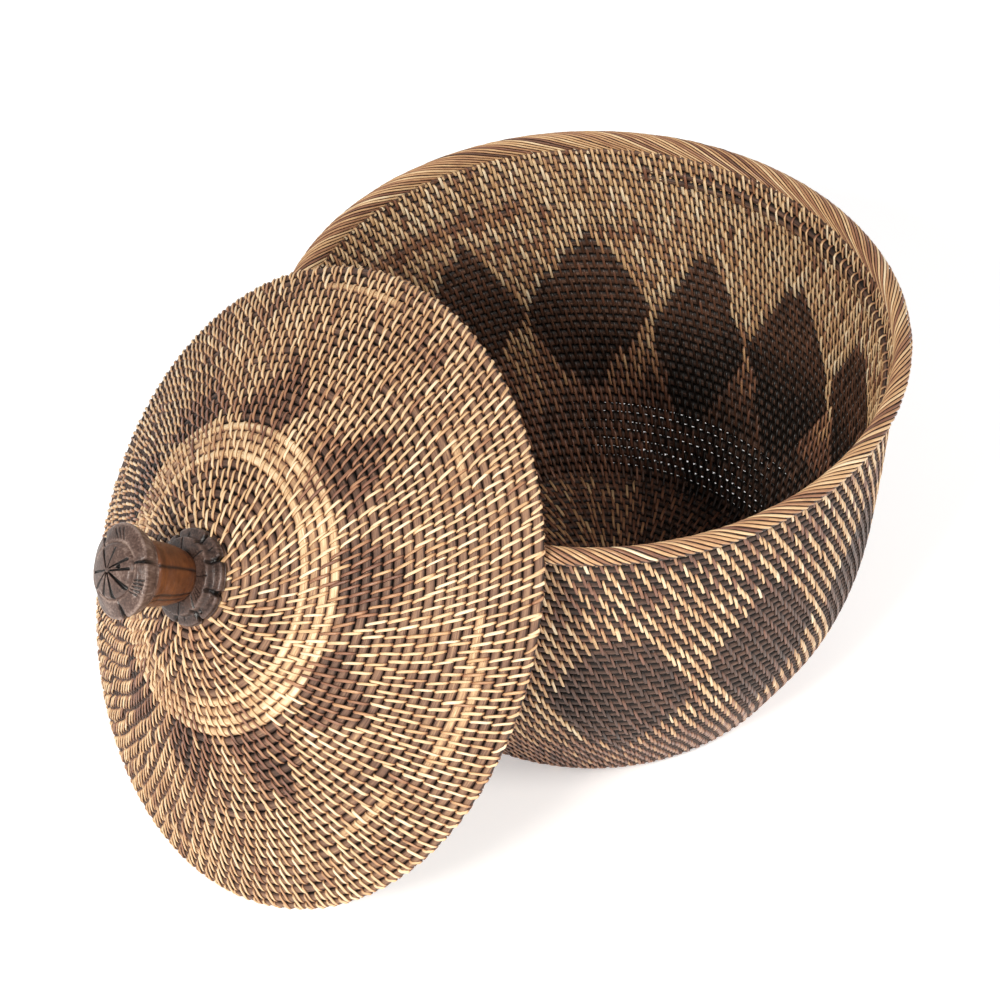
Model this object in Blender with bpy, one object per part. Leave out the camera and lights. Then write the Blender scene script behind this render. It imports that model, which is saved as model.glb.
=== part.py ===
"""Round lidded coil basket: a domed lid with a carved knob leans on the rim of an open basket.

The basket stands on z = 0 and is centred on the Z axis. Every coil band is its own ring. The lid's
pieces are drawn closed, then turned about lid_pivot, whose axis runs level through the base centre.
"""
import math

import bmesh
import bpy
import numpy as np
from mathutils import Matrix, Vector

for old in list(bpy.data.objects):
    bpy.data.objects.remove(old, do_unlink=True)

# Driving dimensions, metres.
SEGMENTS = 40            # facets round every coil
KNOB_SEGMENTS = 48
GAP = 0.0003             # clearance between neighbouring pieces
WALL_T = 0.0074          # basket wall, rods and stitches together
BASE_T = 0.0070
BULGE = 0.0007           # how far the middle of a band stands proud
BASE_RADII = [0.0, 0.0365, 0.0730, 0.1095, 0.1458]
WALL_OUTER = [(0.1400, 0.0), (0.1465, 0.0), (0.1530, 0.0012), (0.1592, 0.0062), (0.1648, 0.0176),
              (0.1771, 0.0410), (0.1923, 0.0733), (0.2038, 0.1172), (0.2098, 0.1759), (0.2137, 0.2345), (0.2170, 0.2885)]
HEEL_START, HEEL_END = 0.0070, 0.0335   # lengths along the outer surface
WALL_BANDS = 8
LID_PLANE = 0.3037       # height of the lid's edge rod when the lid is shut
LID_HALF_T = 0.0040
LID_MIDDLE = [(0.0300, 0.1003), (0.0480, 0.0955), (0.0665, 0.0880), (0.1110, 0.0672),
              (0.1670, 0.0345), (0.2005, 0.0146), (0.2115, 0.0071), (0.2210, 0.0)]
LID_START, LID_RING_IN, LID_RING_OUT, LID_EDGE = 0.0340, 0.0830, 0.1135, 0.2151
SKIRT_BANDS = 4
DOWEL_R = 0.0055
BORE_R = DOWEL_R + GAP
HEAD_LOBES, COLLAR_LOBES = 4, 8
LEAN_AZIMUTH = math.radians(214.45)
LEAN = math.radians(53.1)

STRAW = (0.62, 0.43, 0.23)
BROWN = (0.16, 0.10, 0.065)
DARK = (0.07, 0.045, 0.035)
MIXED = (0.36, 0.24, 0.14)
CARVED = (0.13, 0.095, 0.08)
STEM = (0.26, 0.125, 0.055)


def material(name, colour, roughness=0.6):
    made = bpy.data.materials.new(name)
    made.use_nodes = True
    shader = made.node_tree.nodes["Principled BSDF"]
    shader.inputs["Base Color"].default_value = (*colour, 1.0)
    shader.inputs["Roughness"].default_value = roughness
    return made


def lathe(name, section, colour, parent=None, lift=0.0, segments=SEGMENTS, lobes=0, roughness=0.6):
    """Turn a closed section of (radius, height[, lobe depth]) about Z into one closed body."""
    mesh = bmesh.new()
    loops = []
    for point in section:
        radius, height = point[0], point[1] + lift
        depth = point[2] if len(point) > 2 else 0.0
        if radius == 0.0:
            loops.append([mesh.verts.new((0.0, 0.0, height))])
            continue
        loop = []
        for k in range(segments):
            angle = 2.0 * math.pi * k / segments
            cut = depth * (1.0 - abs(math.sin(0.5 * lobes * angle)) ** 0.5)
            loop.append(mesh.verts.new(((radius - cut) * math.cos(angle),
                                        (radius - cut) * math.sin(angle), height)))
        loops.append(loop)
    for a, b in zip(loops, loops[1:] + loops[:1]):
        if len(a) == 1 and len(b) == 1:
            continue
        for k in range(segments):
            n = (k + 1) % segments
            corners = [a[k % len(a)], a[n % len(a)], b[n % len(b)], b[k % len(b)]]
            mesh.faces.new(list(dict.fromkeys(corners)))
    bmesh.ops.recalc_face_normals(mesh, faces=mesh.faces)
    data = bpy.data.meshes.new(name)
    mesh.to_mesh(data)
    mesh.free()
    for face in data.polygons:
        face.use_smooth = True
    data.materials.append(material(name, colour, roughness))
    piece = bpy.data.objects.new(name, data)
    bpy.context.collection.objects.link(piece)
    piece.parent = parent
    return piece


def smooth_path(points, steps=40):
    """Catmull-Rom curve through the points, returned as rows of (length so far, radius, height)."""
    p = np.array([points[0], *points, points[-1]], float)
    rows = []
    for i in range(1, len(p) - 2):
        t = np.linspace(0.0, 1.0, steps, endpoint=i == len(p) - 3)[:, None]
        rows.append(0.5 * (2 * p[i] + (p[i + 1] - p[i - 1]) * t
                           + (2 * p[i - 1] - 5 * p[i] + 4 * p[i + 1] - p[i + 2]) * t ** 2
                           + (3 * p[i] - 3 * p[i + 1] + p[i + 2] - p[i - 1]) * t ** 3))
    curve = np.concatenate(rows)
    length = np.concatenate([[0.0], np.cumsum(np.linalg.norm(np.diff(curve, axis=0), axis=1))])
    return np.column_stack([length, curve])


def station(path, s, out=0.0):
    """The point at length s, moved by out to the right of the direction of travel."""
    r, z = (np.interp(s, path[:, 0], path[:, k]) for k in (1, 2))
    dr, dz = (np.interp(s + 0.001, path[:, 0], path[:, k]) - np.interp(s - 0.001, path[:, 0], path[:, k])
              for k in (1, 2))
    size = math.hypot(dr, dz)
    return (float(r + out * dz / size), float(z - out * dr / size))


def band(path, s0, s1, right, left, stops=3):
    """Closed section between two lengths; right and left are the offsets of its two faces."""
    lengths = np.linspace(s0, s1, stops)
    swell = BULGE * np.sin(np.pi * np.linspace(0.0, 1.0, stops))
    return ([station(path, s, right + b) for s, b in zip(lengths, swell)]
            + [station(path, s, left - b) for s, b in zip(lengths[::-1], swell[::-1])])


# Base: flat coils, centre disc first.
BASE_NAMES = ["base_centre_coil", "base_inner_coil", "base_middle_coil", "base_outer_coil"]
for index, name in enumerate(BASE_NAMES):
    inner, outer = BASE_RADII[index] + GAP, BASE_RADII[index + 1]
    soft = 0.0010
    section = [(outer - soft, 0.0), (outer, soft), (outer, BASE_T - soft), (outer - soft, BASE_T)]
    if index == 0:
        section += [(0.0, BASE_T), (0.0, 0.0)]
    else:
        section += [(inner + soft, BASE_T), (inner, BASE_T - soft), (inner, soft), (inner + soft, 0.0)]
    lathe(name, section, BROWN)

# Heel and wall bands follow the outer surface from the base up to the rim.
wall_path = smooth_path(WALL_OUTER)
wall_length = wall_path[-1, 0]
lathe("heel_coil", band(wall_path, HEEL_START, HEEL_END, -BULGE, BULGE - WALL_T, 5), BROWN)
step = (wall_length - HEEL_END) / WALL_BANDS
WALL_COLOURS = [MIXED, MIXED, DARK, DARK, DARK, MIXED, MIXED, BROWN]
for index, colour in enumerate(WALL_COLOURS):
    low = HEEL_END + index * step + GAP
    lathe(f"wall_coil_{index + 1:02d}", band(wall_path, low, low + step - GAP, -BULGE, BULGE - WALL_T),
          colour)

# Rim: the last rod and the plaited border folded over it.
hoop = [(0.2174 + 0.0037 * math.cos(a), 0.2925 + 0.0030 * math.sin(a))
        for a in np.linspace(0.0, 2.0 * math.pi, 8, endpoint=False)]
lathe("rim_hoop", hoop, BROWN)
lathe("rim_border", [(0.2232, 0.2890), (0.2248, 0.2915), (0.2243, 0.2953), (0.2215, 0.2972),
                     (0.2170, 0.2984), (0.2130, 0.2972), (0.2110, 0.2940), (0.2112, 0.2890),
                     (0.2130, 0.2890), (0.2128, 0.2935), (0.2145, 0.2957), (0.2175, 0.2966),
                     (0.2210, 0.2957), (0.2226, 0.2935), (0.2217, 0.2890)], STRAW)

# Lid, drawn shut and carried by a pivot on the joint axis.
pivot = bpy.data.objects.new("lid_pivot", None)
bpy.context.collection.objects.link(pivot)
turn_axis = Vector((-math.sin(LEAN_AZIMUTH), math.cos(LEAN_AZIMUTH), 0.0))
pivot.matrix_world = Matrix.Rotation(LEAN, 4, turn_axis)


def lid_piece(name, section, colour, **options):
    return lathe(name, section, colour, parent=pivot, lift=LID_PLANE, **options)


lid_path = smooth_path(LID_MIDDLE)


def lid_length(radius):
    return float(np.interp(radius, lid_path[:, 1], lid_path[:, 0]))


def lid_band(name, s0, s1, colour):
    lid_piece(name, band(lid_path, s0, s1, BULGE - LID_HALF_T, LID_HALF_T - BULGE), colour)


lid_piece("lid_centre_coil", [(BORE_R, 0.0965), (0.0290, 0.0965), (0.0324, 0.0958), (0.0346, 0.1030),
                              (0.0310, 0.1045), (BORE_R, 0.1045)], MIXED)
lid_band("lid_shoulder_coil", lid_length(LID_START), lid_length(LID_RING_IN) - GAP, MIXED)
lid_band("lid_ring_coil", lid_length(LID_RING_IN), lid_length(LID_RING_OUT) - GAP, STRAW)
skirt = np.linspace(lid_length(LID_RING_OUT), lid_length(LID_EDGE), SKIRT_BANDS + 1)
for index, (s0, s1) in enumerate(zip(skirt, skirt[1:])):
    lid_band(f"lid_skirt_coil_{index + 1}", s0, s1 - GAP, BROWN if index == 0 else MIXED)
lid_piece("lid_edge_coil", [(0.2131, 0.0011), (0.2175, -0.0023), (0.2210, -0.0047), (0.2240, -0.0047),
                            (0.2256, -0.0022), (0.2258, 0.0008), (0.2240, 0.0038), (0.2177, 0.0076)],
          MIXED)

# Carved knob on the lid, held by a dowel and a disc under the coils.
lid_piece("knob_collar", [(BORE_R, 0.1048), (0.0290, 0.1048, 0.004), (0.0328, 0.1068, 0.006),
                          (0.0322, 0.1105, 0.006), (0.0275, 0.1132, 0.002), (0.0180, 0.1138),
                          (BORE_R, 0.1138)], CARVED, segments=KNOB_SEGMENTS, lobes=COLLAR_LOBES)
lid_piece("knob_stem", [(BORE_R, 0.1141), (0.0150, 0.1141), (0.0172, 0.1180), (0.0190, 0.1225),
                        (0.0212, 0.1320), (0.0222, 0.1420), (0.0222, 0.1515), (BORE_R, 0.1515)],
          STEM, roughness=0.45)
lid_piece("knob_head", [(BORE_R, 0.1518), (0.0240, 0.1518, 0.001), (0.0300, 0.1555, 0.005),
                        (0.0326, 0.1625, 0.007), (0.0305, 0.1680, 0.006), (0.0225, 0.1700, 0.001),
                        (0.0206, 0.1690), (0.0200, 0.1712), (0.0130, 0.1750), (0.0, 0.1765),
                        (0.0, 0.1643), (BORE_R, 0.1643)],
          CARVED, segments=KNOB_SEGMENTS, lobes=HEAD_LOBES)
lid_piece("knob_dowel", [(0.0, 0.0915), (DOWEL_R, 0.0915), (DOWEL_R, 0.1640), (0.0, 0.1640)],
          STEM, segments=16)
lid_piece("lid_inner_disc", [(BORE_R, 0.0925), (0.0150, 0.0925), (0.0162, 0.0938), (0.0162, 0.0962),
                             (BORE_R, 0.0962)], CARVED, segments=24)
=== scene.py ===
"""Looks of the round lidded coil basket: wound rods, slanted binding strips, rim strands, carved knob."""

import math

import bpy
import numpy as np
from mathutils import Matrix, Vector


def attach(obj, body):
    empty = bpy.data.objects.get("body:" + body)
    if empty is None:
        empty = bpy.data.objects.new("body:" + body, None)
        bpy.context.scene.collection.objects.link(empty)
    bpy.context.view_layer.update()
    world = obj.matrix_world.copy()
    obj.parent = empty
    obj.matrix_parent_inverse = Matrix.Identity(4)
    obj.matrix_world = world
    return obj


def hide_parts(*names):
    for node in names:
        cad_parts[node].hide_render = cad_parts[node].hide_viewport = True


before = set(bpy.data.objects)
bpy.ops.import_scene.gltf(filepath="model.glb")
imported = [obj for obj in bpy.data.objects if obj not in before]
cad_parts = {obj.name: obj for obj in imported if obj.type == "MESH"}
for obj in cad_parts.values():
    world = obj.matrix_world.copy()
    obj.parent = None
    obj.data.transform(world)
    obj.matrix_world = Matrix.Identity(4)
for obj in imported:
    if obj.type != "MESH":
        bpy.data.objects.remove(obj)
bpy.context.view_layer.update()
rng = np.random.default_rng(7)
TURN = 2 * math.pi
UNEVEN = 0.10                         # how much wider apart the strips stand in front than behind

# Dimensions in metres. Profiles are (radius, height) pairs: the wall's outer face, and the middle of the lid's
# thickness, with heights above LID_PLANE, near which its edge is when it is shut.
BASKET_OUTER = [(0.0010, 0.0), (0.0500, 0.0), (0.1000, 0.0), (0.1400, 0.0), (0.1465, 0.0), (0.1530, 0.0012),
                (0.1592, 0.0062), (0.1648, 0.0176), (0.1771, 0.0410), (0.1923, 0.0733),
                (0.2038, 0.1172), (0.2098, 0.1759), (0.2137, 0.2345), (0.2170, 0.2885)]
HALF_WALL, WALL_TOP = 0.0039, 0.2886  # half the wall's thickness, and the height of its last turn
LID_MIDDLE = [(0.2240, -0.0010), (0.2115, 0.0071), (0.2005, 0.0146), (0.1670, 0.0345), (0.1110, 0.0672),
              (0.0665, 0.0880), (0.0480, 0.0955), (0.0280, 0.1005), (0.0060, 0.1005)]
LID_PLANE = 0.3037
LEAN_AZIMUTH, LEAN = math.radians(214.45), math.radians(53.1)     # where the lid leans at rest, and how far
# The rim border's middle, from outside over the top to the inside.
BORDER = [(0.2176, 0.2878), (0.2216, 0.2884), (0.2237, 0.2912), (0.2235, 0.2943), (0.2212, 0.2963),
          (0.2172, 0.2974), (0.2134, 0.2963), (0.2116, 0.2935), (0.2108, 0.2876)]
PITCH = 0.0072                        # from one turn of the rod to the next
ROD = (0.0036, 0.00272)               # rod's half width along the wall, and half its depth
ROD_SIDES, ROD_STEPS = 12, 144        # facets round a rod, and along one turn
ROD_TIP = 0.12                        # turns of the rod left out at each end, where it is too thin
FIRST_STRIP, PAST_LAST = 0.4, 0.5     # turns before the first strip, and past the rod's end to the last one
WALL_STRIPS, RIM_STRANDS = 150, 228   # strips in one turn of the wall, and strands round the rim
WALL_STEP = 0.42                      # share of their spacing by which the wall's strips move on in each turn
LID_LAG = 0.30                        # where a strip of the lid stands between two strips of the turn before
WALL_STRIP, LID_STRIP, RIM_STRAND = (0.0021, 0.0008), (0.00225, 0.00115), (0.0020, 0.0010)  # width, thickness
RIDGE = 0.2672                        # height of the ridge inside the wall
ROD_RIDGE, STRIP_RIDGE = 0.0060, 0.0042     # how far it spreads in height, in its rods and in its strips
# Heights of the rows that light shows through, on one side of the wall.
SLIT_ROWS = [(0.050, 0.058), (0.037, 0.044), (0.012, 0.030)]

# Tones run from 0, pale straw, to 1, nearly black.
TONES = [(0.00, "f3e0c0"), (0.14, "e6c79c"), (0.28, "cfa577"), (0.42, "a87958"), (0.58, "825743"),
         (0.74, "5c3e2e"), (0.88, "3a271e"), (1.00, "17100c")]
ROD_TONES = [(0.00, "f3e0c0"), (0.14, "e6c79c"), (0.28, "c8a27a"), (0.42, "9f7b60"), (0.58, "7b5c4b"),
             (0.74, "563f34"), (0.88, "37271f"), (1.00, "17100c")]


# ---------------------------------------------------------------- surfaces
class Path:
    """A smooth profile, read by length along it and turned about Z to make a surface."""

    def __init__(self, points, inset=0.0):
        p = np.array([points[0], *points, points[-1]], float)
        t = np.linspace(0.0, 1.0, 40, endpoint=False)[:, None]
        curve = np.concatenate([
            0.5 * (2 * b + (c - a) * t + (2 * a - 5 * b + 4 * c - d) * t ** 2
                   + (3 * b - 3 * c + d - a) * t ** 3)
            for a, b, c, d in zip(p, p[1:], p[2:], p[3:])] + [p[-1:]])
        self.run = unit(np.gradient(curve, axis=0))
        self.normal = np.column_stack([self.run[:, 1], -self.run[:, 0]])
        self.curve = curve - inset * self.normal
        self.at = np.concatenate([[0.0], np.cumsum(np.linalg.norm(np.diff(self.curve, axis=0), axis=1))])
        self.length = float(self.at[-1])

    def read(self, table, s):
        return np.stack([np.interp(s, self.at, table[:, 0]), np.interp(s, self.at, table[:, 1])], -1)

    def length_at(self, radius=None, height=None):
        """Length along the path where it is nearest to a radius, or to a height."""
        column, value = (0, radius) if radius is not None else (1, height)
        return float(self.at[np.argmin(np.abs(self.curve[:, column] - value))])

    def radius_at(self, s):
        return self.read(self.curve, s)[..., 0]

    def height_at(self, s):
        return self.read(self.curve, s)[..., 1]

    def place(self, s, azimuth, out=0.0):
        """World points at length s and azimuth, moved out along the surface normal."""
        rz = self.read(self.curve, s) + self.read(self.normal, s) * np.asarray(out)[..., None]
        over = s - np.clip(s, 0.0, self.length)
        rz = rz + self.read(self.run, s) * over[..., None]
        return swung(rz, azimuth)

    def outward(self, s, azimuth, lean):
        """Direction at angle lean from the surface normal towards the end of the path."""
        d = (self.read(self.normal, s) * np.cos(lean)[..., None]
             + self.read(self.run, s) * np.sin(lean)[..., None])
        return swung(d, azimuth)


def unit(v):
    return v / np.maximum(np.linalg.norm(v, axis=-1, keepdims=True), 1e-12)


def swung(rz, azimuth):
    """(radius, height) pairs turned to an azimuth."""
    r, z = rz[..., 0], rz[..., 1]
    return np.stack([r * np.cos(azimuth), r * np.sin(azimuth), z + 0.0 * azimuth], -1)


def off_centre(points):
    """The cone's tip and the knob stand a few millimetres to one side of the lid's middle."""
    z = points[..., 2:]
    aside = 0.0038 * np.clip((z - 0.080) / 0.020, 0.0, 1.0) + 0.022 * np.clip(z - 0.115, 0.0, 1.0)
    return points + aside * (-0.05, -1.0, 0.0)


def leaned(points):
    """Points of the shut lid, given above its own plane, moved to where the lid leans at rest."""
    points = off_centre(points)
    axis = (-math.sin(LEAN_AZIMUTH), math.cos(LEAN_AZIMUTH), 0.0)
    turn = np.array(Matrix.Rotation(LEAN, 3, Vector(axis)))
    return (points + (0.0, 0.0, LID_PLANE)) @ turn.T


def standing(points):
    """Points of the basket stay where they are."""
    return points


def ripple(azimuth, s, seed):
    """Slow uneven variation over a surface, about -1 to 1."""
    a = 2.399 * seed
    return (np.sin(3 * azimuth + 41 * s + a) + np.sin(7 * azimuth - 67 * s + 2 * a)
            + np.sin(13 * azimuth + 113 * s + 3 * a)) / 3


# ---------------------------------------------------------------- meshes
def make_piece(name, points, faces, material, body, nodes, facts):
    """A piece from points (n, 3), a list of face arrays, and named values for each point."""
    mesh = bpy.data.meshes.new(name)
    sizes = np.concatenate([np.full(len(f), f.shape[1]) for f in faces])
    corners = np.concatenate([f.ravel() for f in faces]).astype(np.int32)
    mesh.vertices.add(len(points))
    mesh.vertices.foreach_set("co", np.asarray(points, np.float32).ravel())
    mesh.loops.add(len(corners))
    mesh.loops.foreach_set("vertex_index", corners)
    mesh.polygons.add(len(sizes))
    mesh.polygons.foreach_set("loop_start", (np.cumsum(sizes) - sizes).astype(np.int32))
    mesh.update(calc_edges=True)
    mesh.polygons.foreach_set("use_smooth", np.ones(len(sizes), bool))
    for key, values in facts.items():
        kind, field = ("FLOAT_VECTOR", "vector") if np.ndim(values) == 2 else ("FLOAT", "value")
        attribute = mesh.attributes.new(key, kind, "POINT")
        attribute.data.foreach_set(field, np.asarray(values, np.float32).ravel())
    mesh.materials.append(material)
    piece = bpy.data.objects.new(name, mesh)
    bpy.context.scene.collection.objects.link(piece)
    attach(piece, body)
    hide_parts(*nodes)
    return piece


def tube_faces(rows, sides):
    """Faces of an open tube of rows rings, whose points run counterclockwise round its direction."""
    a = (np.arange(rows - 1)[:, None] * sides + np.arange(sides)).ravel()
    b = (np.arange(rows - 1)[:, None] * sides + (np.arange(sides) + 1) % sides).ravel()
    return np.stack([a, b, b + sides, a + sides], -1)


def end_faces(rows, sides):
    """The two faces that close such a tube."""
    ring = np.arange(sides)
    return np.stack([ring[::-1], ring + (rows - 1) * sides])


# Sections of a strip, as shares of its width and thickness: rounded, flat, and with wide broken edges.
ROUNDED = np.array([(0.50, -0.30), (0.36, 0.34), (0.0, 0.50), (-0.36, 0.34), (-0.50, -0.30), (0.0, -0.50)])
FLAT = np.array([(0.50, -0.40), (0.45, 0.34), (0.0, 0.50), (-0.45, 0.34), (-0.50, -0.40), (0.0, -0.50)])
BEVELLED = np.array([(0.50, -0.40), (0.38, 0.30), (0.0, 0.50), (-0.38, 0.30), (-0.50, -0.40), (0.0, -0.50)])


def strip_mesh(centres, outward, width, thick, tone, section):
    """Strips of a section along many paths at once.

    centres and outward are (strips, steps, 3); width, thick and tone are (strips, steps).
    Returns the points, the faces and the facts that make_piece takes.
    """
    count, steps = centres.shape[:2]
    along = unit(np.gradient(centres, axis=1))
    across = unit(np.cross(outward, along))
    face = np.cross(along, across)
    points = (centres[:, :, None]
              + across[:, :, None] * (section[:, 0] * width[..., None])[..., None]
              + face[:, :, None] * (section[:, 1] * thick[..., None])[..., None])
    start = (np.arange(count) * steps * 6)[:, None, None]
    faces = [(tube_faces(steps, 6)[None] + start).reshape(-1, 4),
             (end_faces(steps, 6)[None] + start).reshape(-1, 6)]
    run = np.cumsum(np.linalg.norm(np.diff(centres, axis=1, prepend=centres[:, :1]), axis=2), axis=1)
    grain = np.zeros(points.shape)
    grain[..., 0] = (run + 0.05 * np.arange(count)[:, None])[..., None]
    grain[..., 1] = section[:, 0] * width[..., None]
    grain[..., 2] = 0.013 * np.arange(count)[:, None, None]
    # Painted shade: each strip and strand is darker along its two edges, for the shadow beside it.
    edge_shade = 0.45 if section is BEVELLED else 0.30
    tones = tone[..., None] + edge_shade * (np.abs(section[:, 0]) > 0.47)
    facts = {"tone": tones.ravel(), "grain": grain.reshape(-1, 3)}
    return points.reshape(-1, 3), faces, facts


# ---------------------------------------------------------------- coils
class Coil:
    """One long rod wound as a spiral on a path, squeezed flat where it starts and ends.

    last is the length along the path where it ends, placed moves its points to where they are at rest,
    strip is the width and thickness of its binding strips, and slant_at is how far they lean at an azimuth.
    """

    def __init__(self, path, last, body, placed, strip, slant_at):
        self.path, self.last, self.body, self.placed = path, last, body, placed
        self.strip, self.slant_at = strip, slant_at
        self.in_wall = body == "basket"
        self.turns = last / PITCH + 1.0
        self.end = last + PITCH

    def centre(self, phi):
        """Length along the path of the rod's centre at total angle phi, and its squeeze, 0 to 1."""
        middle = PITCH * (phi / TURN - 0.5)
        low = np.clip(middle - PITCH / 2, 0.0, self.last)
        high = np.clip(middle + PITCH / 2, 0.0, self.last)
        return (low + high) / 2, np.maximum((high - low) / PITCH, 0.10)

    def turn_at(self, s):
        return s / PITCH + 0.5


def rod_piece(name, coil, s0, s1, tone_at, nodes):
    """The rod's turns between two lengths along the path."""
    t0, t1 = max(coil.turn_at(s0), ROD_TIP), min(coil.turn_at(s1), coil.turns - ROD_TIP)
    rows = max(int((t1 - t0) * ROD_STEPS), 4)
    phi = np.linspace(t0, t1, rows) * TURN
    s, squeeze = coil.centre(phi)
    around = np.arange(ROD_SIDES) / ROD_SIDES * TURN
    thick = 1 + 0.035 * ripple(phi * 1.37, s, 5) + 0.015 * rng.standard_normal(rows)
    radius, height = coil.path.radius_at(s), coil.path.height_at(s)
    broad = squeeze * np.clip(thick, 1.0, 1.02)
    if coil.in_wall:
        broad = broad * (1 - slits_at(phi, height))
    ds = -ROD[0] * broad[:, None] * np.sin(around)
    # Painted shade: each rod darkens towards its sides, in the crevices between its turns.
    side = 0.62 * np.abs(np.sin(around)) ** (2.4 if coil.in_wall else 3.6)
    dn = ROD[1] * (np.sqrt(squeeze) * thick)[:, None] * np.cos(around)
    sway = 0.00015 * ripple(phi * 2.3, s, 9)
    inside = np.clip(-np.cos(around), 0.0, 1.0)
    if coil.in_wall:
        dn = dn - ridge(phi, height, ROD_RIDGE)[:, None] * inside
    points = coil.path.place(s[:, None] + ds, np.broadcast_to(phi[:, None], ds.shape), dn + sway[:, None])
    run = np.concatenate([[0.0], np.cumsum(np.diff(phi) * radius[1:])])
    grain = np.stack(np.broadcast_arrays(run[:, None], around[None, :] * 0.003, s[:, None]), -1)
    # The rod's tone, with the painted crevice shade on its sides.
    tone = tone_at(phi, s, radius)[:, None] + side
    if coil.in_wall:
        # Painted light: the rods' inner faces are lighter high up in the wall.
        tone = tone - 0.07 * (inside > 0.2) * np.clip((height - 0.11) / 0.09, 0.0, 1.0)[:, None]
    facts = {"tone": tone.ravel(), "grain": grain.reshape(-1, 3)}
    faces = [tube_faces(rows, ROD_SIDES), end_faces(rows, ROD_SIDES)]
    points = coil.placed(points.reshape(-1, 3))
    return make_piece(name, points, faces, ROD_CANE, coil.body, nodes, facts)


# A strip goes over the outside of two rods and back inside: which rod, degrees round it, share of the way,
# from 0 to 1 outside and on to 2 inside.
WRAP = [(0, -90, 0.0), (0, -58, 0.05), (0, -28, 0.14), (0, 0, 0.26), (1, -4, 0.68), (1, 28, 0.85),
        (1, 58, 0.95), (1, 90, 1.0), (1, 125, 1.12), (1, 160, 1.28), (0, 200, 1.72), (0, 235, 1.88),
        (0, 270, 2.0)]


def turned_by(azimuth, middle):
    """Degrees from a middle azimuth, -180 to 180."""
    return (np.degrees(azimuth) - middle + 180) % 360 - 180


def near(azimuth, middle, reach, fade):
    """1 round a middle azimuth, falling over the last fade degrees to 0 at reach degrees from it."""
    return np.clip((reach - np.abs(turned_by(azimuth, middle))) / fade, 0.0, 1.0)


def slits_at(azimuth, z):
    """How much thinner a rod is where light shows through: a few rows low in the wall, on one side."""
    rows = np.any([between(z, low, high) for low, high in SLIT_ROWS], axis=0)
    return 0.20 * rows * near(azimuth, 58, 40, 20)


def ridge(azimuth, z, spread):
    """How far the wall stands in on the inside: a ridge runs part of the way round, under the rim."""
    return 0.0045 * np.exp(-((z - RIDGE) / spread) ** 2) * near(azimuth, 15, 72, 45)


def even_places(coil, spacing_at, step):
    """Total angles of a coil's strips: as many in each turn, but for a share step of their spacing.

    Their number changes only every three turns.
    """
    t, places = FIRST_STRIP, []
    while t < coil.turns + PAST_LAST:
        end = min(math.floor(t / 3 + 1 + 1e-6) * 3, coil.turns + PAST_LAST)
        radius = coil.path.radius_at(coil.centre(np.array((t + end) / 2 * TURN))[0])
        count = round(TURN * radius / spacing_at(radius)) + step
        places.append(np.arange(math.ceil(t * count), math.ceil(end * count)) / count * TURN)
        t = end
    return np.concatenate(places)


def kept_places(coil, spacing_at, lag):
    """Total angles of a shrinking coil's strips, each a share lag of the way between two of the turn before.

    Where the strips would stand too close, three of them follow four of the turn before.
    """
    places, i = [FIRST_STRIP * TURN], 0

    def follower(k):
        beside = (places[k - 1] + 2 * places[k] + places[k + 1]) / 4
        return TURN + beside + lag * (places[k + 1] - places[k - 1]) / 2

    while places[-1] < (coil.turns + PAST_LAST) * TURN:
        last = places[-1]
        radius = coil.path.radius_at(coil.centre(last)[0])
        gap = spacing_at(radius) / radius
        if last < 1.4 * TURN or i + 6 >= len(places):
            places.append(last + gap * (1 + 0.12 * math.sin(4 * last)))
            continue
        while places[i + 1] + TURN < last:
            i += 1
        if (places[i + 5] - places[i + 1]) / 4 < 0.88 * gap:
            end = follower(i + 4)
            places += [last + (end - last) * n / 3 for n in (1, 2, 3)]
        else:
            places.append(follower(i + 1))
    return np.array(places)


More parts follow.
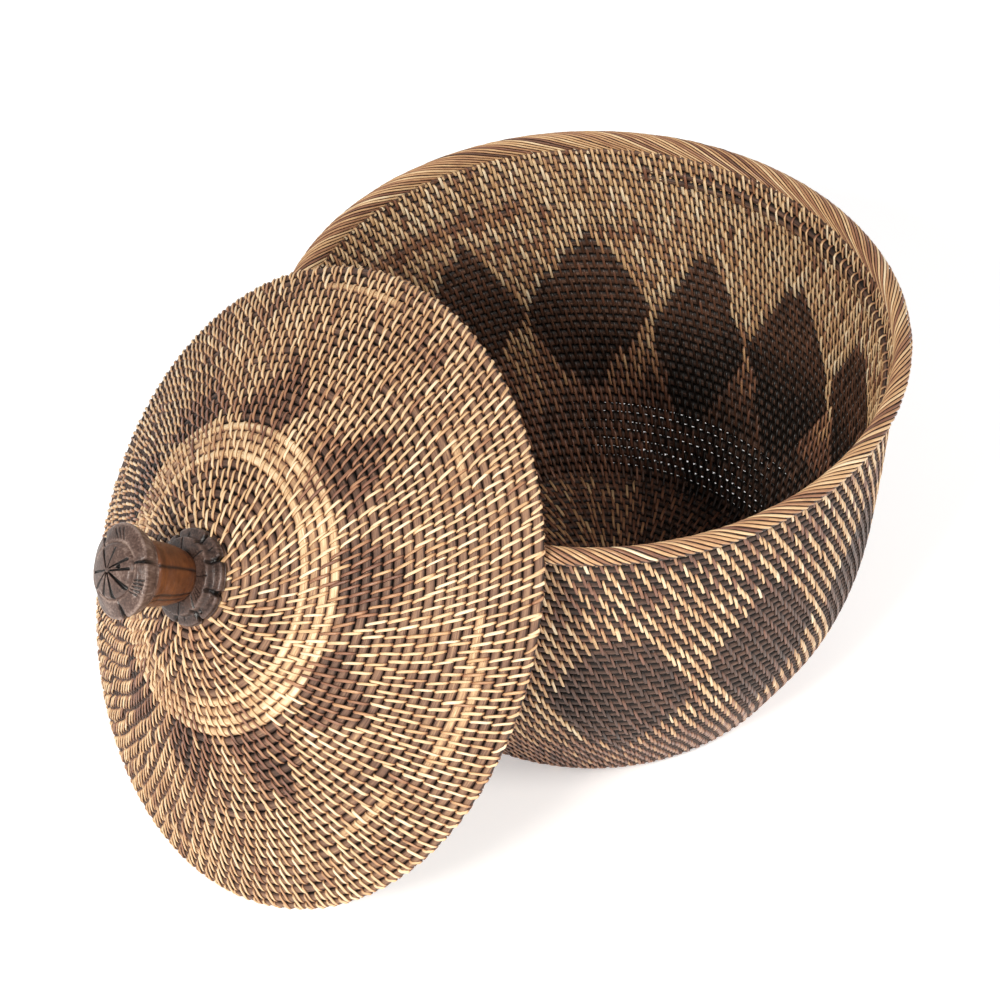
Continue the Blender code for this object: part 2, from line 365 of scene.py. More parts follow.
def strip_piece(name, coil, s0, s1, places, tone_at, nodes):
    """The binding strips between two lengths along the path, where places has the angles of all of them.

    Each strip leans over by a share of the strips' spacing, which the coil's slant_at gives.
    """
    width, thick = coil.strip
    t0, t1 = max(coil.turn_at(s0), FIRST_STRIP), min(coil.turn_at(s1), coil.turns + PAST_LAST)
    inside = (places >= t0 * TURN) & (places < t1 * TURN)
    phi, gap = places[inside], np.gradient(places)[inside]
    phi = phi + UNEVEN * np.sin(phi + TURN / 4)
    n = len(phi)
    which, angle, share = (np.array(c, float) for c in zip(*WRAP))
    angle = np.radians(angle)
    (low, low_squeeze), (high, high_squeeze) = coil.centre(phi - TURN), coil.centre(phi)
    s_mid = (low + high) / 2
    radius, height = coil.path.radius_at(s_mid), coil.path.height_at(s_mid)
    spacing = gap * radius
    slant = coil.slant_at(phi) * spacing * (1 + 0.12 * rng.standard_normal(n))
    s_rod = np.where(which == 0, low[:, None], high[:, None])
    squeeze = np.where(which == 0, low_squeeze[:, None], high_squeeze[:, None])
    rho_s = PITCH / 2 * squeeze
    rho_n = ROD[1] * np.sqrt(squeeze) + thick / 2 - 0.00005
    s = s_rod + rho_s * np.sin(angle)
    out = rho_n * np.cos(angle) + 0.00010 * np.abs(rng.standard_normal((n, 1))) * np.cos(angle)
    if coil.in_wall:
        out = out - ridge(phi, height, STRIP_RIDGE)[:, None] * np.sqrt(np.clip(-np.cos(angle), 0.0, 1.0))
    shift = np.where(share <= 1, (0.5 - share) * slant[:, None],
                     -0.5 * slant[:, None] - (share - 1) * (spacing - slant)[:, None])
    wander = 0.00035 * rng.standard_normal((n, 1))
    azimuth = phi[:, None] + (shift + wander) / coil.path.radius_at(s)
    centres = coil.path.place(s, azimuth, out)
    outward = coil.path.outward(s, azimuth, np.broadcast_to(angle, s.shape))
    wide = width * (1 + 0.09 * rng.standard_normal((n, 1))) * (1 - 0.22 * np.abs(np.sin(angle)) ** 3)
    deep = thick * np.ones_like(wide)
    # Painted shade: each strip darkens where it turns down between the rods.
    tone = tone_at(phi, radius, height)[:, None] + 0.42 * np.abs(np.sin(angle)) ** 4
    if coil.in_wall:
        # Painted shade, and a little painted light high up, on the strips' inner side.
        tone = tone + painted_inner_shade(phi, height)[:, None] * (np.cos(angle) < 0)
    section = ROUNDED if thick > 0.001 else FLAT
    points, faces, facts = strip_mesh(centres, outward, wide, deep, tone, section)
    return make_piece(name, coil.placed(points), faces, STRIP_CANE, coil.body, nodes, facts)


def painted_inner_shade(azimuth, z):
    """How much darker the strips are inside the basket, as painted shade: low down and most on one side, a
    little darker in the diamonds, and lighter high up, which is painted light.
    """
    low = 0.20 * np.clip((0.150 - z) / 0.10, 0.0, 1.0)
    side = 0.24 * np.clip((0.150 - z) / 0.05, 0.0, 1.0) * near(azimuth, 38, 48, 30)
    return low + side + 0.04 * in_wall_diamond(azimuth, z) - 0.03


# ---------------------------------------------------------------- patterns
# Dark diamonds round the wall: middle azimuth and half width in degrees, lowest and highest point.
WALL_DIAMONDS = [(92.0, 13.8, 0.066, 0.205), (66.0, 11.3, 0.045, 0.200), (41.0, 12.7, 0.050, 0.216),
                 (17.0, 10.8, 0.080, 0.224), (119.5, 13.0, 0.070, 0.214), (149, 14.0, 0.075, 0.207),
                 (179, 14.5, 0.075, 0.207), (211, 15.0, 0.075, 0.207), (243, 15.0, 0.075, 0.207),
                 (275.5, 14.0, 0.062, 0.208), (305.5, 12.5, 0.078, 0.224), (335, 13.0, 0.075, 0.215)]
# Dark rows near the rim: middle azimuth and half width in degrees, lowest and highest point.
WALL_ROWS = [(128, 22, 0.232, 0.246), (104, 26, 0.2035, 0.2105), (150, 14, 0.214, 0.222)]
# Brown diamonds round the lid: their middle azimuths, half width in degrees, and the radius where they are
# widest, with how far they reach out and in from there.
LID_DIAMONDS = [17, 58, 95, 130, 165, 200, 234, 268, 303, 340]
LID_DIAMOND_HALF, LID_DIAMOND_RADIUS, LID_DIAMOND_OUT, LID_DIAMOND_IN = 15.0, 0.118, 0.036, 0.028
# Pale band of rods on the lid, and the less pale row in its middle: their inner and outer radius.
PALE_BAND, MIDDLE_ROW = (0.0800, 0.1085), (0.0862, 0.0965)
# Pale lengths of rod on the lid: radius, first and last azimuth in degrees.
LID_STREAKS = [(0.1890, 300, 334), (0.1960, 304, 326), (0.1860, 276, 292), (0.1850, 2, 12),
               (0.2060, 47, 68), (0.1930, 120, 150), (0.2050, 190, 235)]


def between(values, low, high):
    return (values > low) & (values < high)


def in_wall_diamond(azimuth, z):
    found = np.zeros(np.shape(azimuth), bool)
    for middle, half, low, high in WALL_DIAMONDS:
        centre = low + 0.5 * (high - low)
        across, up = np.abs(turned_by(azimuth, middle)) / half, np.abs(z - centre) / (centre - low)
        found |= across ** 1.2 + up ** 1.2 < 1.0
    return found


def in_lid_diamond(azimuth, radius):
    found = np.zeros(np.shape(azimuth), bool)
    beyond = radius - LID_DIAMOND_RADIUS
    reach = np.where(beyond > 0, beyond / LID_DIAMOND_OUT, -beyond / LID_DIAMOND_IN)
    for middle in LID_DIAMONDS:
        found |= np.abs(turned_by(azimuth, middle)) / LID_DIAMOND_HALF + reach < 1.0
    return found


def mixed(count, share, first, second):
    """Tones of strips, a share of them second, each (middle, spread)."""
    picked = rng.random(count) < share
    middle = np.where(picked, second[0], first[0])
    spread = np.where(picked, second[1], first[1])
    return np.clip(middle + spread * rng.standard_normal(count), 0.0, 1.0)


# Kinds of cane: the middle of its tones, and their spread. A strip's tone comes from its angle, radius and
# height, and a rod's from its angle, its length along the path and its radius.
PALE, STRAW, TAN, BROWN, DARK = (0.13, 0.06), (0.21, 0.08), (0.35, 0.06), (0.58, 0.06), (0.74, 0.05)


def wall_strip_tone(phi, radius, z):
    """Straw strips, dark in the diamonds, and with brown ones among them near the rim."""
    n = len(phi)
    plain = mixed(n, 0.18, STRAW, TAN)
    upper = mixed(n, 0.17 - 0.11 * np.sin(phi), STRAW, BROWN)
    dark = mixed(n, 0.0, DARK, DARK)
    # Painted shade: the wall's strips darken towards its bottom, where the wall turns down.
    tone = np.where(z > 0.215, upper, plain) + 0.28 * np.clip((0.105 - z) / 0.06, 0.0, 1.0)
    tone = np.where(ridge(phi, z, STRIP_RIDGE) > 0.0022, plain, tone)
    for middle, half, low, high in WALL_ROWS:
        in_row = (np.abs(turned_by(phi, middle)) < half) & between(z, low, high)
        tone = np.where(in_row, 0.5 * (tone + dark), tone)
    return np.where(in_wall_diamond(phi, z), dark, tone)


def base_strip_tone(phi, radius, z):
    """Straw and tan strips, mixed."""
    return mixed(len(phi), 0.35, (0.20, 0.08), (0.42, 0.08))


def basket_rod_tone(phi, s, radius):
    """Dark brown rods, a little uneven."""
    return 0.72 + 0.07 * ripple(phi, s, 3)


# Painted shade: the lid's cane is made darker on the sides named below.
def painted_side_shade(phi):
    """How much darker the lid's cane is on the sides that are up and to the left in the photograph."""
    return 0.22 * np.clip(-np.cos(phi), 0.0, 1.0) + 0.18 * np.clip(np.cos(phi - 1.5), 0.0, 1.0)


def lid_strip_tone(phi, radius, z):
    """Straw strips, with the ring of brown diamonds."""
    n = len(phi)
    # Plain strips, with painted shade on the lid's darker sides.
    plain = mixed(n, 0.16, PALE, (0.28, 0.07)) + 0.4 * painted_side_shade(phi)
    brown = mixed(n, 0.10, (0.50, 0.07), (0.30, 0.06))
    return np.where(in_lid_diamond(phi, radius), brown, plain)


def lid_rod_tone(phi, s, radius):
    """Brown rods, darker in the diamonds, with a pale band half way in, and pale streaks near the edge."""
    tone = 0.49 + 0.08 * ripple(phi, s, 4) + 0.15 * in_lid_diamond(phi, radius)
    # Painted shade on the lid's darker sides.
    tone = tone + painted_side_shade(phi)
    pale = 0.13 + 0.19 * between(radius, *MIDDLE_ROW) + 0.09 * ripple(phi, s, 6)
    tone = np.where(between(radius, *PALE_BAND), pale, tone)
    for middle, start, end in LID_STREAKS:
        inside = np.abs(turned_by(phi, (start + end) / 2)) < (end - start) / 2
        tone = np.where((np.abs(radius - middle) < 0.0032) & inside, 0.25, tone)
    return tone


# ---------------------------------------------------------------- materials
def linear(code):
    """A colour written as six hex digits, as linear RGBA."""
    parts = [int(code[i:i + 2], 16) / 255 for i in (0, 2, 4)]
    return (*[c / 12.92 if c <= 0.04045 else ((c + 0.055) / 1.055) ** 2.4 for c in parts], 1.0)


class Nodes:
    """A new material's node tree, with its Principled shader."""

    def __init__(self, name):
        self.material = bpy.data.materials.new(name)
        self.material.use_nodes = True
        self.tree = self.material.node_tree
        self.shader = self.tree.nodes["Principled BSDF"]

    def add(self, kind, inputs=None, **settings):
        node = self.tree.nodes.new("ShaderNode" + kind)
        for key, value in settings.items():
            setattr(node, key, value)
        for key, value in (inputs or {}).items():
            if isinstance(value, bpy.types.NodeSocket):
                self.tree.links.new(value, node.inputs[key])
            else:
                node.inputs[key].default_value = value
        return node

    def ramp(self, factor, stops):
        node = self.add("ValToRGB", {"Fac": factor})
        elements = node.color_ramp.elements
        while len(elements) < len(stops):
            elements.new(0.5)
        for element, (position, code) in zip(elements, stops):
            element.position, element.color = position, linear(code)
        return node.outputs["Color"]

    def noise(self, vector, scale, detail=2.0, roughness=0.5):
        inputs = {"Vector": vector, "Scale": scale, "Detail": detail, "Roughness": roughness}
        return self.add("TexNoise", inputs).outputs["Fac"]

    def maths(self, operation, *values):
        node = self.add("Math", dict(enumerate(values)), operation=operation)
        return node.outputs["Value"]

    def scaled(self, vector, amounts):
        node = self.add("VectorMath", {0: vector, 1: amounts}, operation="MULTIPLY")
        return node.outputs["Vector"]

    def bump(self, height, distance, strength=1.0):
        node = self.add("Bump", {"Height": height, "Distance": distance, "Strength": strength})
        self.tree.links.new(node.outputs["Normal"], self.shader.inputs["Normal"])

    def colour(self, socket):
        self.tree.links.new(socket, self.shader.inputs["Base Color"])

    def roughness(self, factor, low, high):
        node = self.add("MapRange", {"Value": factor, "To Min": low, "To Max": high})
        self.tree.links.new(node.outputs["Result"], self.shader.inputs["Roughness"])


def cane(name, tones, fibres, contrast, shine, low, high):
    """Split or whole cane: colour from each point's tone, with fibres along it, patches and slight gloss.

    fibres is how fine the fibres are and contrast how strong; shine is the specular level, and low and high
    are the roughness.
    """
    n = Nodes(name)
    tone = n.add("Attribute", attribute_name="tone").outputs["Fac"]
    grain = n.add("Attribute", attribute_name="grain").outputs["Vector"]
    fibre = n.noise(n.scaled(grain, (60.0, fibres, 60.0)), 1.0, detail=3.0)
    patch = n.noise(n.scaled(grain, (90.0, 60.0, 40.0)), 1.0, detail=2.0)
    shade = n.maths("MULTIPLY_ADD", n.maths("SUBTRACT", fibre, 0.5), contrast, tone)
    shade = n.maths("MULTIPLY_ADD", n.maths("SUBTRACT", patch, 0.5), 0.26, shade)
    n.colour(n.ramp(shade, tones))
    n.roughness(fibre, low, high)
    n.bump(fibre, 0.00018, 0.8)
    n.shader.inputs["Specular IOR Level"].default_value = shine
    return n.material


def carved_wood(name, stops, lengthwise):
    """Carved wood: grain lines, tool marks, and from each point's depth painted shade in cuts and lighter worn
    edges, partly painted highlight.
    """
    n = Nodes(name)
    grain = n.add("Attribute", attribute_name="grain").outputs["Vector"]
    depth = n.add("Attribute", attribute_name="depth").outputs["Fac"]
    lines = n.noise(n.scaled(grain, lengthwise), 1.0, detail=4.0, roughness=0.6)
    blotch = n.noise(grain, 90.0, detail=3.0, roughness=0.6)
    nicks = n.noise(grain, 900.0, detail=2.0)
    shade = n.maths("ADD", n.maths("MULTIPLY", lines, 0.55), n.maths("MULTIPLY", blotch, 0.45))
    # depth darkens the colour: painted shade in the cuts, and where it is below zero a painted highlight on
    # worn edges.
    shade = n.maths("SUBTRACT", shade, n.maths("MULTIPLY", depth, 0.55))
    n.colour(n.ramp(shade, stops))
    n.roughness(lines, 0.24, 0.46)
    n.bump(n.maths("ADD", lines, n.maths("MULTIPLY", nicks, 0.3)), 0.0003, 0.7)
    n.shader.inputs["Specular IOR Level"].default_value = 0.45
    return n.material


def floor_material():
    """Plain white paper, very slightly uneven."""
    n = Nodes("floor_white")
    place = n.add("TexCoord").outputs["Object"]
    n.colour(n.ramp(n.noise(place, 3.0), [(0.0, "f6f6f6"), (1.0, "fdfdfd")]))
    n.shader.inputs["Roughness"].default_value = 0.9
    n.shader.inputs["Specular IOR Level"].default_value = 0.1
    n.shader.inputs["Emission Color"].default_value = (1.0, 1.0, 1.0, 1.0)
    n.shader.inputs["Emission Strength"].default_value = 0.42
    return n.material


STRIP_CANE = cane("strip_cane", TONES, fibres=1500.0, contrast=0.34, shine=0.50, low=0.32, high=0.52)
ROD_CANE = cane("rod_cane", ROD_TONES, fibres=1300.0, contrast=0.75, shine=0.35, low=0.48, high=0.70)
DARK_WOOD = carved_wood("dark_carved_wood", [(0.05, "0b0706"), (0.3, "2c1f1a"), (0.52, "5e4941"),
                                             (0.8, "a89286")], lengthwise=(60.0, 700.0, 700.0))
WARM_WOOD = carved_wood("warm_stem_wood", [(0.1, "27140b"), (0.35, "4a2815"), (0.55, "66391c"),
                                           (0.8, "85522c")], lengthwise=(500.0, 60.0, 60.0))


# ---------------------------------------------------------------- the basket
BASE_EDGE, WALL_HALF_WAY = 0.1440, 0.1120     # radius of the base, and height where the upper wall starts
BASE_NODES = ["base_centre_coil", "base_inner_coil", "base_middle_coil", "base_outer_coil"]
WALL_NODES = [f"wall_coil_0{i}" for i in range(1, 9)]
# Zones of the basket: name, the radius (base) or height (wall) where it ends, and the CAD nodes.
BASE_ZONES = [("base_inner", 0.0975, BASE_NODES[:3]), ("base_outer", BASE_EDGE, BASE_NODES[2:])]
WALL_ZONES = [("heel", 0.0280, ["heel_coil"]), ("wall_1", 0.0690, WALL_NODES[0:2]),
              ("wall_2", WALL_HALF_WAY, WALL_NODES[1:3]), ("wall_3", 0.1560, WALL_NODES[3:4]),
              ("wall_4", 0.2000, WALL_NODES[4:6]), ("wall_5", 0.2440, WALL_NODES[5:7]),
              ("wall_6", 0.2990, WALL_NODES[7:8])]


def wall_slant(azimuth):
    """The wall's strips lean over alike all round."""
    return 0.46


def wall_spacing(radius):
    """How far apart the strips stand: evenly on the base, and the same number in each turn of the wall."""
    return 0.0090 if radius < 0.150 else TURN * radius / WALL_STRIPS


def make_basket_weave():
    path = Path(BASKET_OUTER, HALF_WALL)
    basket = Coil(path, path.length_at(height=WALL_TOP), "basket", standing, WALL_STRIP, wall_slant)
    start, places = 0.0, even_places(basket, wall_spacing, WALL_STEP)
    for name, edge, nodes in BASE_ZONES + WALL_ZONES:
        on_base = name.startswith("base")
        end = path.length_at(radius=edge) if on_base else path.length_at(height=edge)
        end = end if name != "wall_6" else basket.end
        tone = base_strip_tone if on_base else wall_strip_tone
        strip_piece(name + "_strips", basket, start, end, places, tone, nodes)
        start = end
    ends = [0.0, path.length_at(radius=BASE_EDGE), path.length_at(height=WALL_HALF_WAY), basket.end]
    parts = [("base_rods", BASE_NODES), ("lower_wall_rods", ["heel_coil"] + WALL_NODES[:3]),
             ("upper_wall_rods", WALL_NODES[3:])]
    for (name, nodes), s0, s1 in zip(parts, ends, ends[1:]):
        rod_piece(name, basket, s0, s1, basket_rod_tone, nodes)


RIM_STEPS = 23                        # points along a strand of the rim
# How far round the rim a strand is at each point of BORDER, in metres, before it is stretched.
STRAND_SHIFTS = [0.0142, 0.0140, 0.0130, 0.0089, 0.0048, -0.0007, -0.0060, -0.0104, -0.0183]
HOOP_CENTRE, HOOP_RADII = (0.2172, 0.2910), (0.0055, 0.0058)       # the dark hoop under the strands
HOOP_STEPS, HOOP_SIDES = 300, 16


def make_rim_strands():
    """Long slanted straw strands, side by side, that fold over the rim.

    They lie flatter, and are narrower, at the back of the rim than in front.
    """
    tones = mixed(RIM_STRANDS, 0.14, (0.32, 0.09), (0.54, 0.08))
    path, count = Path(BORDER), RIM_STRANDS
    s = np.linspace(0.0, path.length, RIM_STEPS)
    azimuth = (np.arange(count) / count * TURN)[:, None] + 0.0012 * rng.standard_normal((count, 1))
    back = np.sin(azimuth)
    knots = np.concatenate([[0.0], np.cumsum(np.linalg.norm(np.diff(np.array(BORDER), axis=0), axis=1))])
    shift = np.interp(s, knots / knots[-1] * path.length, STRAND_SHIFTS) / 0.2175
    s = np.broadcast_to(s, (count, RIM_STEPS))
    azimuth = azimuth + shift * (1.75 + 0.45 * back)
    lift = 0.00010 * rng.standard_normal((count, 1)) - 0.0001
    centres = path.place(s, azimuth, lift)
    outward = path.outward(s, azimuth, np.zeros(s.shape))
    width, thick = RIM_STRAND
    wide = width * (1 - 0.20 * back) * (1 + 0.07 * rng.standard_normal((count, 1))) * np.ones(s.shape)
    tone = np.broadcast_to(tones[:, None], s.shape)
    points, faces, facts = strip_mesh(centres, outward, wide, np.full(s.shape, thick), tone, BEVELLED)
    make_piece("rim_border_strands", points, faces, STRIP_CANE, "basket", ["rim_border"],
               facts)


def make_rim_hoop():
    """The dark hoop that shows between the strands."""
    phi = np.linspace(0.0, TURN, HOOP_STEPS, endpoint=False)[:, None]
    around = (np.arange(HOOP_SIDES) / HOOP_SIDES * TURN)[None, :]
    ring = np.stack(np.broadcast_arrays(HOOP_CENTRE[0] + HOOP_RADII[0] * np.cos(around) + 0 * phi,
                                        HOOP_CENTRE[1] - HOOP_RADII[1] * np.sin(around) + 0 * phi), -1)
    points = swung(ring, np.broadcast_to(phi, ring.shape[:2]))
    # One more ring of faces than of points: it closes on the first ring.
    faces = tube_faces(HOOP_STEPS + 1, HOOP_SIDES) % (HOOP_STEPS * HOOP_SIDES)
    grain = np.stack(np.broadcast_arrays(phi * 0.2177, around * 0.004, 0 * phi), -1)
    tone = np.broadcast_to(0.80 + 0.05 * ripple(phi, 0 * phi, 2), ring.shape[:2])
    make_piece("rim_core_hoop", points.reshape(-1, 3), [faces], ROD_CANE, "basket", ["rim_hoop"],
               {"tone": tone.ravel(), "grain": grain.reshape(-1, 3)})


# ---------------------------------------------------------------- the lid
SKIRT_EDGE = 0.1135                   # radius where the skirt's rods end and the inner ones start
# Zones of the lid from its edge inwards: name, the radius where it ends, and the CAD nodes.
LID_ZONES = [("lid_skirt_outer", 0.1870, ["lid_skirt_coil_4", "lid_edge_coil"]),
             ("lid_skirt_middle", 0.1500, ["lid_skirt_coil_2", "lid_skirt_coil_3"]),
             ("lid_skirt_inner", SKIRT_EDGE, ["lid_skirt_coil_1", "lid_skirt_coil_2"]),
             ("lid_ring", 0.0815, ["lid_ring_coil"]),
             ("lid_centre", 0.0, ["lid_centre_coil", "lid_shoulder_coil"])]


def lid_slant(azimuth):
    """The lid's strips lean over most on the side turned away from where it touches the floor."""
    return 0.42 + 0.18 * np.cos(azimuth + 0.26)


def lid_spacing(radius):
    """How far apart the strips stand: a little further near the edge."""
    return 0.0098 + 0.005 * radius


def make_lid_weave():
    path = Path(LID_MIDDLE)
    lid = Coil(path, path.length, "lid", leaned, LID_STRIP, lid_slant)
    start, places = 0.0, kept_places(lid, lid_spacing, LID_LAG)
    for name, edge, nodes in LID_ZONES:
        end = path.length_at(radius=edge) if edge > 0 else lid.end
        strip_piece(name + "_strips", lid, start, end, places, lid_strip_tone, nodes)
        start = end
    middle = path.length_at(radius=SKIRT_EDGE)
    rod_piece("lid_skirt_rods", lid, 0.0, middle, lid_rod_tone,
              [f"lid_skirt_coil_{i}" for i in (1, 2, 3, 4)] + ["lid_edge_coil"])
    rod_piece("lid_inner_rods", lid, middle, lid.end, lid_rod_tone,
              ["lid_centre_coil", "lid_shoulder_coil", "lid_ring_coil"])


# ---------------------------------------------------------------- the knob
COLLAR = [(0.0005, 0.1048), (0.0312, 0.1048), (0.0330, 0.1053), (0.0337, 0.1064), (0.0337, 0.1084),
          (0.0329, 0.1095), (0.0290, 0.1104), (0.0277, 0.1109), (0.0272, 0.1122), (0.0268, 0.1148),
          (0.0257, 0.1164), (0.0180, 0.1170), (0.0005, 0.1170)]
STEM = [(0.0005, 0.1141), (0.0148, 0.1141), (0.0166, 0.1165), (0.0190, 0.1225), (0.0208, 0.1300),
        (0.0219, 0.1380), (0.0223, 0.1460), (0.0222, 0.1560), (0.0005, 0.1562)]
HEAD = [(0.0005, 0.1550), (0.0232, 0.1550), (0.0274, 0.1566), (0.0302, 0.1600), (0.0318, 0.1645),
        (0.0327, 0.1676), (0.0324, 0.1688), (0.0315, 0.1695), (0.0260, 0.1718), (0.0208, 0.1734),
        (0.0197, 0.1733), (0.0192, 0.1729), (0.0188, 0.1742), (0.0180, 0.1756), (0.0165, 0.1766),
        (0.0110, 0.1783), (0.0050, 0.1798), (0.0005, 0.1804)]
INNER_DISC = [(0.0005, 0.0925), (0.0140, 0.0925), (0.0158, 0.0931), (0.0162, 0.0945), (0.0158, 0.0960),
              (0.0005, 0.0962)]
# Notches in a rim: their azimuths, and then how deep one is, half its width in degrees, and where it starts.
HEAD_NOTCHES, HEAD_NOTCH = [107, 356, 265, 194], (0.0036, 4.6, 0.0225)
COLLAR_NOTCHES, COLLAR_NOTCH = [42, 3, 320, 277, 234, 190, 145, 95], (0.0046, 4.2, 0.0250)
# Cuts in a top: (radius, azimuth) of both ends, half width and depth.
HEAD_CUTS = [((0.002, 104), (0.0165, 104), 0.0008, 0.0012), ((0.002, 302), (0.0175, 302), 0.0013, 0.0018),
             ((0.002, 259), (0.0175, 259), 0.0012, 0.0018), ((0.002, 228), (0.0178, 228), 0.0010, 0.0014),
             ((0.002, 200), (0.0170, 200), 0.0008, 0.0012), ((0.002, 165), (0.0165, 165), 0.0008, 0.0012),
             ((0.002, 60), (0.0150, 60), 0.0008, 0.0010), ((0.002, 332), (0.0168, 345), 0.0008, 0.0012),
             ((0.002, 22), (0.0168, 8), 0.0008, 0.0012), ((0.0085, 357), (0.0092, 357), 0.0014, 0.0024),
             *[((0.0195, a), (0.0330, a), 0.0009, 0.0018) for a in HEAD_NOTCHES],
             *[((0.0205, a), (0.0262, a + 3), 0.0005, 0.0009) for a in (300, 306, 312, 318, 324)],
             *[((0.0215, a), (0.0290, a + 14), 0.0004, 0.0006) for a in (52, 60, 68)]]
COLLAR_CUTS = [((0.0175, 25), (0.0300, 21), 0.0005, 0.0007), ((0.0175, 296), (0.0290, 285), 0.0007, 0.0011),
               ((0.0175, 340), (0.0262, 342), 0.0004, 0.0005), ((0.0175, 70), (0.0290, 72), 0.0005, 0.0007),
               ((0.0175, 255), (0.0290, 252), 0.0005, 0.0007), ((0.0175, 210), (0.0290, 212), 0.0005, 0.0008),
               ((0.0175, 165), (0.0290, 167), 0.0005, 0.0008), ((0.0175, 120), (0.0290, 118), 0.0005, 0.0008),
               *[((0.0180, a), (0.0240, a - 5), 0.00035, 0.0006) for a in (305, 311, 317)]]
# Lines down the stem: azimuth and width.
STEM_LINES = [(352, 0.0009), (300, 0.0008), (288, 0.0006), (235, 0.0008), (180, 0.0008), (125, 0.0008),
              (60, 0.0009)]
OVAL_AZIMUTH = math.radians(350)      # the direction in which the knob's head is narrowest


def plan_point(radius, degrees):
    return np.array([radius * math.cos(math.radians(degrees)), radius * math.sin(math.radians(degrees))])


def cut_depth(x, y, cuts):
    """How deep the cuts go at points in plan: deepest along each cut, which widens towards its second end."""
    deep = np.zeros(x.shape)
    for start, end, half, depth in cuts:
        p, run = plan_point(*start), plan_point(*end) - plan_point(*start)
        t = np.clip(((x - p[0]) * run[0] + (y - p[1]) * run[1]) / (run @ run), 0.0, 1.0)
        gap = np.hypot(x - p[0] - t * run[0], y - p[1] - t * run[1])
        deep = np.maximum(deep, depth * np.clip(1.5 - gap / (half * (0.45 + 0.55 * t)), 0.0, 1.0))
    return deep


def edge_wear_and_highlight(path, s):
    """How worn, and how lit by a painted highlight, a turned piece is at lengths s along its profile, 0 to 1:
    most where the profile bends out.
    """
    facing = np.unwrap(np.arctan2(path.run[:, 1], path.run[:, 0]))
    turning = np.gradient(facing, path.at + 1e-9 * np.arange(len(path.at)))
    spread = np.exp(-((path.at[:, None] - path.at[None, :]) / 0.0011) ** 2)
    bent = spread @ np.clip(turning, 0.0, 2500.0) / spread.sum(axis=1)
    return np.interp(s, path.at, np.clip(bent / 700 - 0.2, 0.0, 1.0))


def carved(name, profile, rows, segments, material, nodes,
           notches=(), notch=(0.0, 1.0, 1.0), cuts=(), lines=(), oval=0.0, painted_shade=0.0):
    """A turned and carved piece: notches in its rim, cuts in its top and lines down its side.

    oval is the share by which it is narrower along OVAL_AZIMUTH than across it, from where its notches start,
    and the painted shade given last darkens all of it; the collar takes it for the shade under the head.
    """
    path = Path(profile)
    s = np.linspace(0.0, path.length, rows)[:, None]
    azimuth = (np.arange(segments) / segments * TURN)[None, :]
    rz = path.read(path.curve, np.broadcast_to(s, (rows, segments)))
    r, h = rz[..., 0], rz[..., 1]
    # depth darkens the colour: painted shade in the notches, cuts and lines.
    depth = np.zeros(r.shape)
    reach, half, inner = notch
    r = r * (1 - oval * np.cos(azimuth - OVAL_AZIMUTH) ** 2 * np.clip((r - inner) / 0.006, 0.0, 1.0))
    for middle in notches:
        gap = np.abs(turned_by(azimuth, middle)) / half
        rim = np.clip((r - inner) / 0.006, 0.0, 1.0)
        bite = reach * np.clip(1.1 - gap, 0.0, 1.0) * rim
        r = r - bite - 0.0011 * np.exp(-gap / 4) * rim
        depth = np.maximum(depth, bite / max(reach, 1e-9))
    facing_up = path.read(path.normal, s)[..., 1] > 0.3
    deep = cut_depth(r * np.cos(azimuth), r * np.sin(azimuth), cuts) * facing_up
    h = h - deep
    for middle, width in lines:
        gap = np.abs(turned_by(azimuth, middle)) * math.pi / 180 * r / width
        line = 0.0005 * np.exp(-gap ** 2) * (r > 0.012)
        r = r - line
        depth = np.maximum(depth, line / 0.0006)
    depth = np.maximum(depth, np.clip(deep / 0.0010, 0.0, 1.0))
    # Lighter edges, partly wear and partly painted highlight, and the painted shade over the whole piece.
    depth = depth - 0.24 * edge_wear_and_highlight(path, s) * (depth < 0.3) + painted_shade
    grain = np.stack([h, r * np.cos(azimuth), r * np.sin(azimuth)], -1).reshape(-1, 3)
    r = r + 0.00012 * ripple(azimuth * 2 + 0 * s, s * 9 + 0 * azimuth, len(name))
    points = np.stack([r * np.cos(azimuth), r * np.sin(azimuth), h], -1).reshape(-1, 3)
    faces = [tube_faces(rows, segments), end_faces(rows, segments)]
    return make_piece(name, leaned(points), faces, material, "lid", nodes,
                      {"depth": depth.ravel(), "grain": grain})


def make_knob():
    # The collar gets painted shade, for the shade under the knob's head.
    carved("knob_collar_carved", COLLAR, 110, 220, DARK_WOOD, ["knob_collar"],
           COLLAR_NOTCHES, COLLAR_NOTCH, COLLAR_CUTS, painted_shade=0.21)
    carved("knob_stem_turned", STEM, 80, 180, WARM_WOOD, ["knob_stem", "knob_dowel"],
           lines=STEM_LINES)
    carved("knob_head_carved", HEAD, 170, 260, DARK_WOOD, ["knob_head"],
           HEAD_NOTCHES, HEAD_NOTCH, HEAD_CUTS, oval=0.17)
    carved("lid_inner_disc_turned", INNER_DISC, 40, 96, DARK_WOOD, ["lid_inner_disc"])


# ---------------------------------------------------------------- the setting
FLOOR_HALF, FLOOR_HEIGHT = 25, -0.0002        # half the floor's side, and its height just under the basket


def make_floor():
    """A plain white floor, wide enough that its edge is far off in low views."""
    corners = [(x * FLOOR_HALF, y * FLOOR_HALF, FLOOR_HEIGHT)
               for x, y in ((-1, -1), (1, -1), (1, 1), (-1, 1))]
    mesh = bpy.data.meshes.new("floor")
    mesh.from_pydata(corners, [], [(0, 1, 2, 3)])
    mesh.materials.append(floor_material())
    floor = bpy.data.objects.new("floor", mesh)
    bpy.context.scene.collection.objects.link(floor)


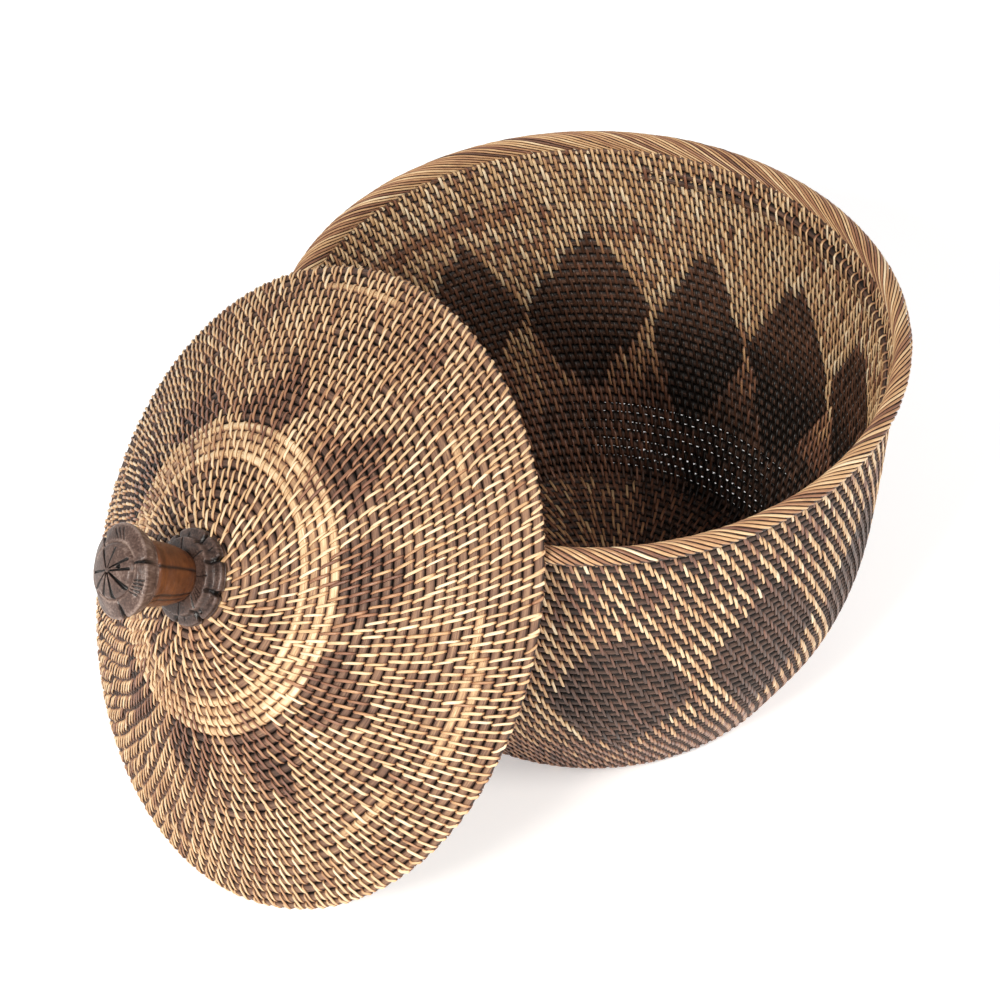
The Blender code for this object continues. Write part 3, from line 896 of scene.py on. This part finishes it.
def area_light(name, place, target, size, power, colour):
    light = bpy.data.lights.new(name, "AREA")
    light.shape, light.size, light.energy, light.color = "DISK", size, power, colour
    lamp = bpy.data.objects.new(name, light)
    lamp.location = place
    lamp.rotation_euler = (Vector(target) - Vector(place)).to_track_quat("-Z", "Y").to_euler()
    bpy.context.scene.collection.objects.link(lamp)


def make_lights():
    """A bright even room, a warm key light from the front left and a softer one from the right."""
    world = bpy.data.worlds.new("studio")
    world.use_nodes = True
    tree = world.node_tree
    place = tree.nodes.new("ShaderNodeTexCoord")
    split = tree.nodes.new("ShaderNodeSeparateXYZ")
    ramp = tree.nodes.new("ShaderNodeValToRGB")
    low, high = ramp.color_ramp.elements
    low.position, low.color = 0.25, (1.0, 1.0, 1.0, 1.0)
    high.position, high.color = 0.75, (0.40, 0.40, 0.41, 1.0)
    tree.links.new(place.outputs["Generated"], split.inputs["Vector"])
    tree.links.new(split.outputs["Z"], ramp.inputs["Fac"])
    tree.links.new(ramp.outputs["Color"], tree.nodes["Background"].inputs["Color"])
    tree.nodes["Background"].inputs["Strength"].default_value = 0.75
    bpy.context.scene.world = world
    area_light("key", (-1.1, -2.0, 2.1), (0.0, 0.0, 0.15), 0.7, 66.0, (1.0, 0.96, 0.89))
    area_light("fill", (1.5, -1.2, 2.4), (0.0, 0.0, 0.15), 1.0, 30.0, (1.0, 0.97, 0.93))
    bpy.context.scene.view_settings.view_transform = "Standard"


def make_camera():
    """The photograph's view: 2.4 m away, 45 degrees down, with a long lens."""
    camera = bpy.data.objects.new("camera", bpy.data.cameras.new("camera"))
    camera.data.lens, camera.data.sensor_width = 111.97, 36.0
    camera.data.clip_start, camera.data.clip_end = 0.05, 40.0
    forward = Vector((-0.02964, 0.70506, -0.70853))
    up = Vector((0.00570, 0.70895, 0.70524))
    right = forward.cross(up)
    turn = Matrix((right, right.cross(forward), -forward)).transposed()
    camera.matrix_world = Matrix.Translation((0.0, -1.62411, 1.75868)) @ turn.to_4x4()
    bpy.context.scene.collection.objects.link(camera)
    bpy.context.scene.camera = camera


make_basket_weave()
make_rim_strands()
make_rim_hoop()
make_lid_weave()
make_knob()
make_floor()
make_lights()
make_camera()
